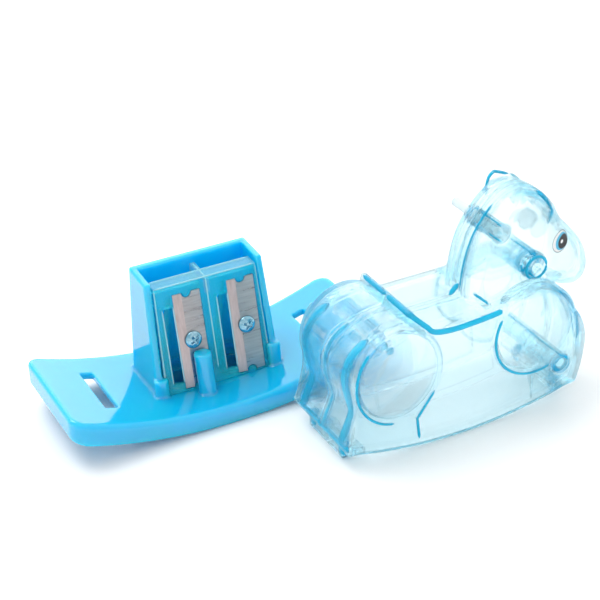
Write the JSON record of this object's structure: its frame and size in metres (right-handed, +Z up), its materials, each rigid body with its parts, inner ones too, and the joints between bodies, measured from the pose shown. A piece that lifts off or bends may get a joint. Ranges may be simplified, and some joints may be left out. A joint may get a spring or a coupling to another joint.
{
  "type": "rocking horse pencil sharpener",
  "caption": "Hand pencil sharpener shaped as a rocking horse: rocker base with a twin-cone blade cartridge and a clear hollow horse shell that lifts off, standing beside it.",
  "frame": {"origin": "middle of the rocker base's underside, on the flat strip it rests on", "axes": "+X along the rocker the way the horse faces, +Y to the horse's left, +Z up"},
  "size_m": [0.126, 0.0666, 0.0568],
  "materials": {
    "base_plastic": "glossy sky blue moulding",
    "insert_plastic": "clear blue moulding",
    "blade_steel": "ground steel",
    "screw_steel": "bright plated",
    "shell_plastic": "clear pale blue moulding",
    "rod_plastic": "milky translucent"
  },
  "bodies": {
    "base": {"rocker_base": "base_plastic", "sharpener_insert": "insert_plastic", "blade_left": "blade_steel", "blade_right": "blade_steel", "blade_screw_left": "screw_steel", "blade_screw_right": "screw_steel"},
    "shell": {"shell_right_half": "shell_plastic", "shell_left_half": "shell_plastic", "handle_rod": "rod_plastic"}
  },
  "joints": [
    {"name": "shell_lift", "type": "slide", "parent": "base", "child": "shell", "axis": [0, 0, 1], "range_m": [0, 0.06]}
  ]
}
